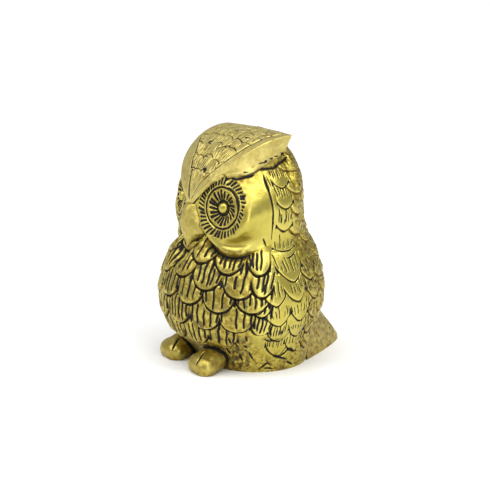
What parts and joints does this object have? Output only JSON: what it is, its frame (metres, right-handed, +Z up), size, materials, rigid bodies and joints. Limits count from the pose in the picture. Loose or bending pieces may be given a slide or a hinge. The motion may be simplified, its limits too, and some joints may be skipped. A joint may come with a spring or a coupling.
{
  "type": "owl figurine",
  "caption": "Small hollow cast-brass owl that stands on its base rim, feet and tail, with chased feathers, ringed eyes and a pointed ear crest.",
  "frame": {"origin": "on the ground, under the middle of the overall box", "axes": "+Z up, the owl faces -Y, its left side is +X"},
  "size_m": [0.0524, 0.0628, 0.0724],
  "materials": {
    "feathered_brass": "chased, dark patina in the grooves, high spots rubbed bright",
    "polished_brass": "polished with fine brush lines",
    "crest_brass": "polished border, lightly engraved top",
    "engraved_brass": "engraved rays filled with dark patina",
    "foot_brass": "polished, stained in the creases",
    "rough_brass": "rough cast, lightly polished"
  },
  "bodies": {
    "root": {"body_shell": "feathered_brass", "head_shell": "polished_brass", "crest": "crest_brass", "beak": "polished_brass", "left_eye_disc": "engraved_brass", "right_eye_disc": "engraved_brass", "left_pupil": "polished_brass", "right_pupil": "polished_brass", "left_foot": "foot_brass", "right_foot": "foot_brass", "tail": "rough_brass"}
  },
  "joints": []
}
